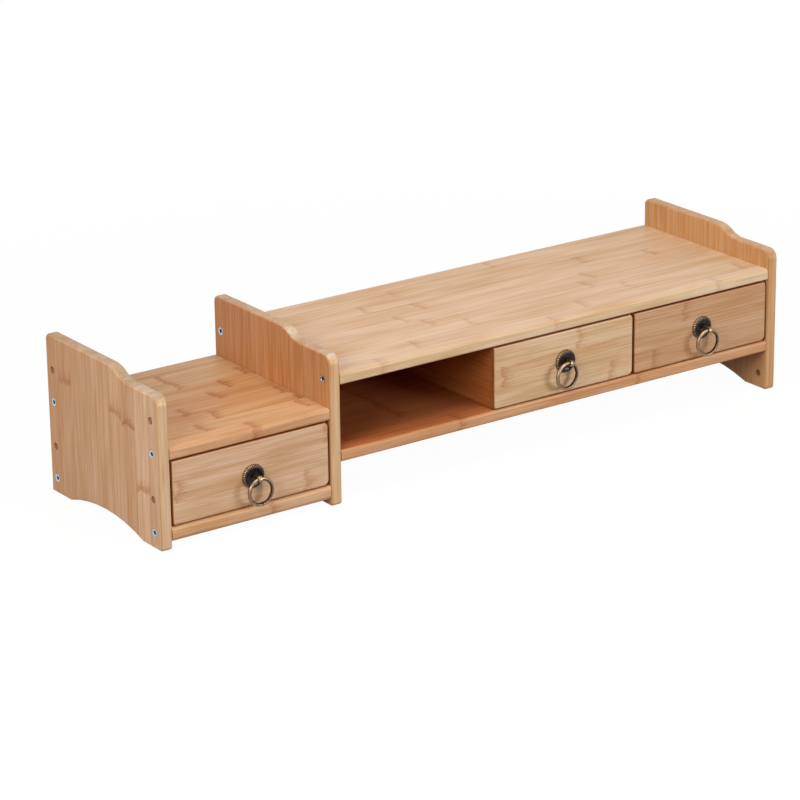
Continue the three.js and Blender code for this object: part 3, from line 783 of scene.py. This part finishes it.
# %% [markdown]
# The boards already have their true shape. What they lack is a soft look: their
# meshes are loose triangles, each lit as if it were flat, so an arris would show as
# three hard bands. One could model every board again, or smooth what is there. Here a
# copy of each board is merged into one skin, its flat faces are made whole again, and
# the edges that are still sharp get the fine bevel that sandpaper leaves. Weighted
# normals then keep the broad faces flat while the arrises are lit as round.

# %% Boards: one soft skin
FLAT_ANGLE = math.radians(0.4)
SANDED_EDGE = 0.3
BROAD_FACE_WEIGHT = 100


def soft_board(node, material):
    board = add_object(f"{node}_wood", NODES[node].data.copy())
    edit(board)
    bpy.ops.mesh.customdata_custom_splitnormals_clear()
    merge_all()
    bpy.ops.mesh.dissolve_limited(angle_limit=FLAT_ANGLE)
    leave()
    soften(board, SANDED_EDGE)
    light_as_round(board)
    finish_with(board, "WEIGHTED_NORMAL", keep_sharp=True, weight=BROAD_FACE_WEIGHT)
    hand_over(board, NODES[node]["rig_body"], [node], material)
    return board


DRAWER_FRONTS = {
    "low": low_front_bamboo,
    "high_left": high_left_front_bamboo,
    "high_right": high_right_front_bamboo,
}
board_materials = {
    "left_end_panel": left_bamboo,
    "middle_panel": middle_bamboo,
    "right_end_panel": right_bamboo,
    "low_bottom_board": low_bottom_bamboo,
    "low_top_board": step_bamboo,
    "high_bottom_board": bottom_bamboo,
    "high_top_board": shelf_bamboo,
    "low_back_panel": sheet_bamboo,
    "high_back_panel": sheet_bamboo,
}
for drawer, front_bamboo in DRAWER_FRONTS.items():
    board_materials[f"{drawer}_drawer_front"] = front_bamboo
    board_materials[f"{drawer}_drawer_left_side"] = side_bamboo
    board_materials[f"{drawer}_drawer_right_side"] = side_bamboo
    board_materials[f"{drawer}_drawer_back"] = sheet_bamboo
    board_materials[f"{drawer}_drawer_bottom"] = tray_bamboo

boards = [soft_board(node, material) for node, material in board_materials.items()]
print("boards:", len(boards), "faces:", sum(len(board.data.polygons) for board in boards))

# %% [markdown]
# Each pull hangs from the middle of a drawer front. The model knows where: the ring's
# hinge is the middle of the eye that it hangs in. From that one place, and from the
# drawer's face behind it, the rosette, the split pin and the ring all follow.

# %% Pulls: where each one hangs
BUTT_ANGLES = {"low": 180, "high_left": 69, "high_right": 63}
WIRE_RADIUS = 1.75


class Pull:
    """Where one pull's face, eye and ring are."""

    def __init__(self, drawer):
        self.drawer = drawer
        hinge = next(joint for joint in frame["joints"] if joint["child"] == f"{drawer}_ring")
        self.eye = Vector(hinge["pos_m"])
        self.side = -Vector(hinge["axis"])
        self.back = Vector((0, 0, 1)).cross(self.side).normalized()
        self.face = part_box(f"{drawer}_drawer_front")[0].y
        self.reach = self.face - self.eye.y
        self.butt = math.radians(BUTT_ANGLES[drawer])
        self.lean = math.asin(-self.side.z)


pulls = [Pull(drawer) for drawer in DRAWER_FRONTS]
print("reach of each eye, mm:", [round(pull.reach / MM, 1) for pull in pulls])

# %% [markdown]
# The rosette is a cup pressed from thin sheet. A press makes its skirt and its dished
# face in one stroke, and the die's teeth leave the flutes. A lathe-like spin would
# give the cup but not the flutes, so it is grown ring by ring: a circle is extruded
# and resized for each step of the outline. Then every fourth line of points on the
# skirt is drawn in, which makes a valley between two teeth.

# %% Pulls: the rosette
FLUTES = 40
POINTS_A_FLUTE = 4
FLUTE_DEPTH_SHARE = 0.075
ROSETTE_SHEET = 0.7
ROSETTE_SMOOTH_ANGLE = math.radians(60)
FLUTED_ABOVE_RADIUS = 10.2
FLUTE_FADE = 0.6
ROSETTE_OUTLINE = [
    (11.9, 0.3), (11.85, 0.9), (11.65, 1.6), (11.2, 2.3), (10.5, 2.85), (9.7, 3.2), (8.8, 3.35),
    (8.0, 3.2), (7.2, 2.95), (6.3, 2.72), (5.2, 2.6), (4.2, 2.45), (3.4, 2.1), (2.9, 1.7),
]
TOOTH_MIDDLE = 0.5
TOOTH_HALF = 0.15
CUP_WEAR = 0.08
TOOTH_RUBBED = 0.9
VALLEY_RUBBED = -0.05


def flute_phase(point):
    """How far round one flute a point lies: 0 in the valley, 0.5 on the tooth. It is turned
    by a quarter of a step, so that no point lies on the limit between two flutes."""
    turned = math.atan2(point.y, point.x) / (2 * math.pi) * FLUTES
    return (turned + 0.25 / POINTS_A_FLUTE) % 1.0


def make_rosette(pull):
    select_none()
    radius, height = ROSETTE_OUTLINE[0]
    bpy.ops.mesh.primitive_circle_add(
        vertices=FLUTES * POINTS_A_FLUTE, radius=radius * MM, location=(0, 0, height * MM))
    rosette = bpy.context.object
    rosette.name = f"{pull.drawer}_rosette"
    settle(rosette)
    edit(rosette)
    bpy.ops.mesh.select_all(action="SELECT")
    extrude_outline(ROSETTE_OUTLINE)

    def in_valley(vertex):
        outside = vertex.co.xy.length > FLUTED_ABOVE_RADIUS * MM
        return outside and flute_phase(vertex.co) < 1.0 / POINTS_A_FLUTE

    pick(rosette, in_valley)
    drawn_in = 1 - FLUTE_DEPTH_SHARE
    bpy.ops.transform.resize(value=(drawn_in, drawn_in, 1), center_override=(0, 0, 0))
    bpy.ops.mesh.select_all(action="SELECT")
    bpy.ops.mesh.normals_make_consistent(inside=False)
    leave()
    finish_with(rosette, "SOLIDIFY", thickness=ROSETTE_SHEET * MM, offset=-1)
    light_as_round(rosette, ROSETTE_SMOOTH_ANGLE)

    def rubbed(point):
        on_tooth = abs(flute_phase(point) - TOOTH_MIDDLE) < TOOTH_HALF
        on_skirt = limited((point.xy.length / MM - FLUTED_ABOVE_RADIUS) / FLUTE_FADE)
        return CUP_WEAR + on_skirt * (TOOTH_RUBBED if on_tooth else VALLEY_RUBBED)

    set_wear(rosette, rubbed)
    rosette.rotation_euler = (math.pi / 2, 0, 0)
    rosette.location = (pull.eye.x, pull.face, pull.eye.z)
    settle(rosette)
    nodes = [f"{pull.drawer}_pull_rosette"]
    hand_over(rosette, f"{pull.drawer}_drawer", nodes, dark_brass)
    return rosette


rosettes = [make_rosette(pull) for pull in pulls]
print("rosette faces:", len(rosettes[0].data.polygons))

# %% [markdown]
# The split pin is a strap, four millimetres wide, folded round the ring. Its two legs
# go through the rosette and the wood, and are bent apart behind the drawer front. A
# strap is a line with a width, so this one starts as a single edge as wide as the
# strap. It is extruded along the first leg, spun round the eye, and extruded again
# along the second. Only then does it get its thickness and its soft edges.

# %% Pulls: the split pin
STRAP_WIDTH = 4.0
STRAP_THICK = 0.9
STRAP_GAP = 0.4
STRAP_FOLD = 8.0
STRAP_EDGE = 0.28
EYE_SLACK = 0.6
FRONT_THICK = 12.0
LOOSE_GAP = 0.3
EYE_STEPS = 32
STRAP_WEAR = 0.35
STRAP_OUTSIDE_WEAR = 0.05
STRAP_EDGE_WEAR = 0.4
STRAP_EDGE_POWER = 4

LEG_OFFSET = (STRAP_GAP + STRAP_THICK) / 2
EYE_RADIUS = WIRE_RADIUS + EYE_SLACK + STRAP_THICK / 2


def make_split_pin(pull):
    select_none()
    bpy.ops.mesh.primitive_plane_add(size=STRAP_WIDTH * MM)
    pin = bpy.context.object
    pin.name = f"{pull.drawer}_split_pin"
    reach = pull.reach / MM
    fold_y = FRONT_THICK + LOOSE_GAP + STRAP_THICK / 2
    leg = fold_y + reach - math.sqrt(EYE_RADIUS**2 - LEG_OFFSET**2)
    tip = STRAP_FOLD + STRAP_GAP / 2 + STRAP_THICK
    edit(pin)
    pick(pin, lambda vertex: vertex.co.y > 0)
    bpy.ops.mesh.delete(type="VERT")
    bpy.ops.mesh.select_all(action="SELECT")
    start = (0, (fold_y + STRAP_WIDTH / 2) * MM, tip * MM)
    bpy.ops.transform.translate(value=start)
    extrude(0, 0, LEG_OFFSET - tip)
    extrude(0, -leg, 0)
    half_open = math.asin(LEG_OFFSET / EYE_RADIUS)
    bpy.ops.mesh.spin(
        steps=EYE_STEPS, angle=2 * math.pi - 2 * half_open, center=(0, -reach * MM, 0), axis=(1, 0, 0))
    extrude(0, leg, 0)
    extrude(0, 0, LEG_OFFSET - tip)
    merge_all()
    bpy.ops.mesh.normals_make_consistent(inside=False)
    leave()
    finish_with(pin, "SOLIDIFY", thickness=STRAP_THICK * MM, offset=0, use_even_offset=True)
    soften(pin, STRAP_EDGE)
    light_as_round(pin)

    def rubbed(point):
        from_eye = math.hypot(point.y / MM + reach, point.z / MM)
        outside = limited((from_eye - EYE_RADIUS + STRAP_THICK / 2) / STRAP_THICK)
        near_edge = abs(point.x / MM) / (STRAP_WIDTH / 2)
        return STRAP_WEAR + STRAP_OUTSIDE_WEAR * outside + STRAP_EDGE_WEAR * near_edge**STRAP_EDGE_POWER

    set_wear(pin, rubbed)
    pin.rotation_euler = (0, pull.lean, 0)
    pin.location = (pull.eye.x, pull.face, pull.eye.z)
    settle(pin)
    nodes = [f"{pull.drawer}_pull_split_pin"]
    hand_over(pin, f"{pull.drawer}_drawer", nodes, antique_brass)
    return pin


pins = [make_split_pin(pull) for pull in pulls]
print("split pin faces:", len(pins[0].data.polygons))

# %% [markdown]
# The ring is a length of round wire, bent until its ends meet. A torus would have no
# ends, so a circle of wire is spun instead, and stops half a millimetre short of a
# full turn. The two open ends are filled and softened. Hand bending also leaves the
# wire a little uneven, which a weak, soft displacement gives.

# %% Pulls: the ring
RING_RADIUS = 12.8
RING_BUTT = 0.5
RING_STEPS = 96
WIRE_SIDES = 20
WIRE_END = 0.35
WIRE_END_STEPS = 3
WIRE_UNEVEN = 0.12
UNEVEN_SIZE = 5.0
RING_WEAR = 0.3
RING_AHEAD_WEAR = 0.25
RING_OUTSIDE_WEAR = 0.3

uneven = bpy.data.textures.new("uneven_wire", "CLOUDS")
uneven.noise_scale = UNEVEN_SIZE * MM


def make_ring(pull):
    select_none()
    bpy.ops.mesh.primitive_circle_add(
        vertices=WIRE_SIDES, radius=WIRE_RADIUS * MM, location=(RING_RADIUS * MM, 0, 0))
    ring = bpy.context.object
    ring.name = f"{pull.drawer}_ring_wire"
    settle(ring)
    edit(ring)
    bpy.ops.mesh.select_all(action="SELECT")
    gap = RING_BUTT / RING_RADIUS
    bpy.ops.mesh.spin(steps=RING_STEPS, angle=2 * math.pi - gap, center=(0, 0, 0), axis=(0, 1, 0))
    merge_all()
    bpy.ops.mesh.fill_holes(sides=0)
    bpy.ops.mesh.normals_make_consistent(inside=False)
    leave()
    soften(ring, WIRE_END, WIRE_END_STEPS)
    finish_with(ring, "DISPLACE", texture=uneven, strength=WIRE_UNEVEN * MM)
    light_as_round(ring)

    def rubbed(point):
        outside = (point.xz.length / MM - RING_RADIUS) / WIRE_RADIUS
        ahead = -point.y / MM / WIRE_RADIUS
        return RING_WEAR + RING_AHEAD_WEAR * ahead + RING_OUTSIDE_WEAR * outside

    set_wear(ring, rubbed)
    half_gap = gap / 2
    to_butt = Matrix.Rotation(pull.butt - math.pi / 2 - half_gap, 4, "Y")
    hang = Matrix.Translation((0, 0, -RING_RADIUS * MM))
    set_by_hand = Matrix((pull.side, pull.back, pull.side.cross(pull.back))).transposed().to_4x4()
    ring.matrix_world = Matrix.Translation(pull.eye) @ set_by_hand @ hang @ to_butt
    settle(ring)
    hand_over(ring, f"{pull.drawer}_ring", [f"{pull.drawer}_pull_ring"], antique_brass)
    return ring


rings = [make_ring(pull) for pull in pulls]
for ring in rings:
    node_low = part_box(ring.name.replace("_ring_wire", "_pull_ring"))[0]
    own_low = [min(vertex.co[axis] for vertex in ring.data.vertices) for axis in range(3)]
    off = [round((own - node) / MM, 2) for own, node in zip(own_low, node_low)]
    print(ring.name, "off its solid by, mm:", off)

# %% [markdown]
# The boards are held by furniture screws. Their heads lie flush in the outer faces of
# the panels, and each has a hexagon socket for a key. One screw is drawn, upright,
# with its head at the top: the head starts as a short cylinder, the cone, the shank
# and the ridges of the thread are extruded from its underside, and the socket is cut
# with a six-sided bar, as the real one is pressed with a six-sided punch. The thread
# is drawn as plain ridges, since the wood hides it.

# %% Screws: one screw, drawn upright
HEAD_RADIUS = 4.0
HEAD_RIM = 0.6
HEAD_EDGE = 0.15
HEAD_FLAT = 1.5
HEAD_SINK = 0.25
SHANK_RADIUS = 3.1
PLAIN_SHANK_END = 12.0
THREAD_ROOT = 2.5
THREAD_PITCH = 2.0
CREST_SHARE = 0.5
TIP_RADIUS = 2.0
SCREW_LENGTH = 40.0
SCREW_SIDES = 32
SOCKET_FLATS = 4.0
SOCKET_DEPTH = 2.6
SOCKET_SIDES = 6
NEARLY_UPRIGHT = 0.9
HEAD_WEAR = 0.9
THREAD_WEAR = 0.1


def screw_outline():
    """The radii and heights of the screw from its rim down to its tip."""
    steps = [(HEAD_RADIUS, HEAD_RIM), (SHANK_RADIUS, HEAD_RIM + HEAD_RADIUS - SHANK_RADIUS)]
    steps += [(SHANK_RADIUS, PLAIN_SHANK_END), (THREAD_ROOT, PLAIN_SHANK_END + THREAD_PITCH / 2)]
    turns = int((SCREW_LENGTH - PLAIN_SHANK_END) / THREAD_PITCH) - 1
    for number in range(turns):
        depth = PLAIN_SHANK_END + (number + 1) * THREAD_PITCH
        steps += [(SHANK_RADIUS, depth), (THREAD_ROOT, depth + CREST_SHARE * THREAD_PITCH)]
    steps.append((TIP_RADIUS, SCREW_LENGTH))
    return [(radius, -depth) for radius, depth in steps]


select_none()
bpy.ops.mesh.primitive_cylinder_add(
    vertices=SCREW_SIDES, radius=HEAD_RADIUS * MM, depth=HEAD_RIM * MM, location=(0, 0, -HEAD_RIM * MM / 2))
upright_screw = bpy.context.object
settle(upright_screw)
edit(upright_screw)
pick(upright_screw, lambda face: face.normal.z < -NEARLY_UPRIGHT, "FACE")
extrude_outline(screw_outline())
pick(upright_screw, lambda face: face.normal.z > NEARLY_UPRIGHT, "FACE")
bpy.ops.mesh.inset(thickness=HEAD_FLAT * MM)
bpy.ops.mesh.inset(thickness=HEAD_SINK * MM, depth=-HEAD_SINK * MM)
leave()
bpy.ops.mesh.primitive_cylinder_add(
    vertices=SOCKET_SIDES, radius=SOCKET_FLATS / math.sqrt(3) * MM, depth=2 * SOCKET_DEPTH * MM)
punch = bpy.context.object
finish_with(upright_screw, "BOOLEAN", object=punch, operation="DIFFERENCE", solver="EXACT")
bpy.data.objects.remove(punch)
soften(upright_screw, HEAD_EDGE)
light_as_round(upright_screw)
set_wear(upright_screw, lambda point: HEAD_WEAR if point.z > -2 * HEAD_SINK * MM else THREAD_WEAR)
print("screw faces:", len(upright_screw.data.polygons))

# %% [markdown]
# Sixteen copies of it go into the riser, each with its own mesh. The model says where:
# a screw's box gives its line, and its panel lies at the head's end of that line. No
# two screws are ever driven to the same angle, so each is turned a little further.

# %% Screws: sixteen in their places
SCREW_TURN = math.radians(37)
PANELS = ("left_end", "middle", "right_end")


def drive_screw(node, number):
    low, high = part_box(node)
    panel = next(name for name in PANELS if node.startswith(f"screw_{name}_"))
    panel_low, panel_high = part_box(f"{panel}_panel")
    head_on_right = low.x + high.x < panel_low.x + panel_high.x
    head_x = high.x if head_on_right else low.x
    line = Vector((head_x, (low.y + high.y) / 2, (low.z + high.z) / 2))
    lay = Matrix.Rotation(math.pi / 2 if head_on_right else -math.pi / 2, 4, "Y")
    screw = add_object(f"{node}_steel", upright_screw.data.copy())
    screw.matrix_world = Matrix.Translation(line) @ lay @ Matrix.Rotation(number * SCREW_TURN, 4, "Z")
    settle(screw)
    hand_over(screw, "root", [node], zinc_steel)
    return screw


screw_nodes = sorted(node for node in NODES if node.startswith("screw_"))
screws = [drive_screw(node, number) for number, node in enumerate(screw_nodes)]
bpy.data.objects.remove(upright_screw)
print("screws:", len(screws))

# %% [markdown]
# The riser stands in a white studio. The pulls' shadows on the drawer fronts fall to
# the left and hardly down, so the main light is a low soft box, ahead and to the right.
# It is slightly cool, and the others slightly warm, which makes those shadows warm. A
# second one overhead lights the tops, a third one from the left lights the panels'
# faces and reaches into the open bay, and a weak one behind shows the back boards.
#
# The light of a soft box is counted in levels: at level 1, a surface that faces it
# sends back its own colour and no more.

# %% Lights
LIGHT_TARGET = Vector((0, 0, RISER_SIZE.z / 2))
COOL = (0.92, 1.0, 1.12)
WARM = (1.04, 1.0, 0.93)


def softbox(name, toward, distance, width, height, level, colour):
    data = bpy.data.lights.new(name, "AREA")
    data.shape = "RECTANGLE"
    data.size = width
    data.size_y = height
    data.energy = level * (math.pi * distance) ** 2
    data.color = colour
    lamp = add_object(name, data)
    direction = Vector(toward).normalized()
    lamp.location = LIGHT_TARGET + direction * distance
    lamp.rotation_euler = direction.to_track_quat("Z", "Y").to_euler()


softbox("key", (0.45, -0.88, 0.2), distance=2.6, width=1.4, height=1.1, level=0.7, colour=COOL)
softbox("top", (-0.1, -0.3, 0.95), distance=2.4, width=1.4, height=1.1, level=0.57, colour=WARM)
softbox("left", (-0.82, -0.38, 0.4), distance=2.6, width=1.2, height=1.0, level=0.53, colour=WARM)
softbox("rear", (-0.2, 0.95, 0.2), distance=2.6, width=1.2, height=1.0, level=0.2, colour=WARM)
print("lights:", [lamp.name for lamp in bpy.data.lights])

# %% [markdown]
# The background is plain white, but a white world bright enough to look white would
# also flood every corner of the riser with light. The Light Path node tells the two
# jobs apart: what the camera sees, directly or in a polished surface, is white at
# strength 1, and what lights the wood is dim and warm, as the light in a corner of
# wood is. The floor does the same. To the camera it mixes its own shaded white with a
# plain one, so a faint shadow still holds the riser to the ground.

# %% World and floor
ROOM_LIGHT = (0.11, 0.07, 0.045, 1.0)
FLOOR_HALF = 6.0
FLOOR_BOUNCE = (0.2, 0.13, 0.08, 1.0)
FLOOR_GLOW_SHARE = 0.97
SHADOW_REACH = 0.55
SHADOW_END = 1.1


def seen_directly(nodes):
    """1 for what the camera sees, also in a mirror or through glass, and 0 for light on its way."""
    path = nodes.add("LightPath").outputs
    mirrored = nodes.math("MAXIMUM", path["Is Glossy Ray"], path["Is Transmission Ray"])
    return nodes.math("MAXIMUM", path["Is Camera Ray"], mirrored)


world = bpy.data.worlds.new("studio")
bpy.context.scene.world = world
nodes = empty_tree(world)
room = nodes.mix(seen_directly(nodes), ROOM_LIGHT, WHITE)
background = nodes.add("Background", {"Color": room, "Strength": 1.0})
nodes.add("OutputWorld", {"Surface": background.outputs[0]})

select_none()
bpy.ops.mesh.primitive_plane_add(size=2 * FLOOR_HALF)
floor = bpy.context.object
floor.name = "floor"
paper = bpy.data.materials.new("paper")
nodes = empty_tree(paper)
direct = seen_directly(nodes)
shaded = nodes.add("BsdfDiffuse", {"Color": nodes.mix(direct, FLOOR_BOUNCE, WHITE)})
glow = nodes.add("Emission", {"Color": WHITE, "Strength": 1.0})
place = nodes.add("TexCoord").outputs["Object"]
from_middle = nodes.add("VectorMath", {0: place}, operation="LENGTH").outputs["Value"]
glow_here = nodes.ease(from_middle, SHADOW_REACH, SHADOW_END, FLOOR_GLOW_SHARE, 1.0)
glow_share = nodes.math("MULTIPLY", direct, glow_here)
both = nodes.add("MixShader", {0: glow_share, 1: shaded.outputs[0], 2: glow.outputs[0]})
nodes.add("OutputMaterial", {"Surface": both.outputs[0]})
floor.data.materials.append(paper)

# %% [markdown]
# The picture is shown as Blender computes it. No film look lies over it to shift the
# colours that the materials and the lights give.

# %% View
bpy.context.scene.view_settings.view_transform = "Standard"
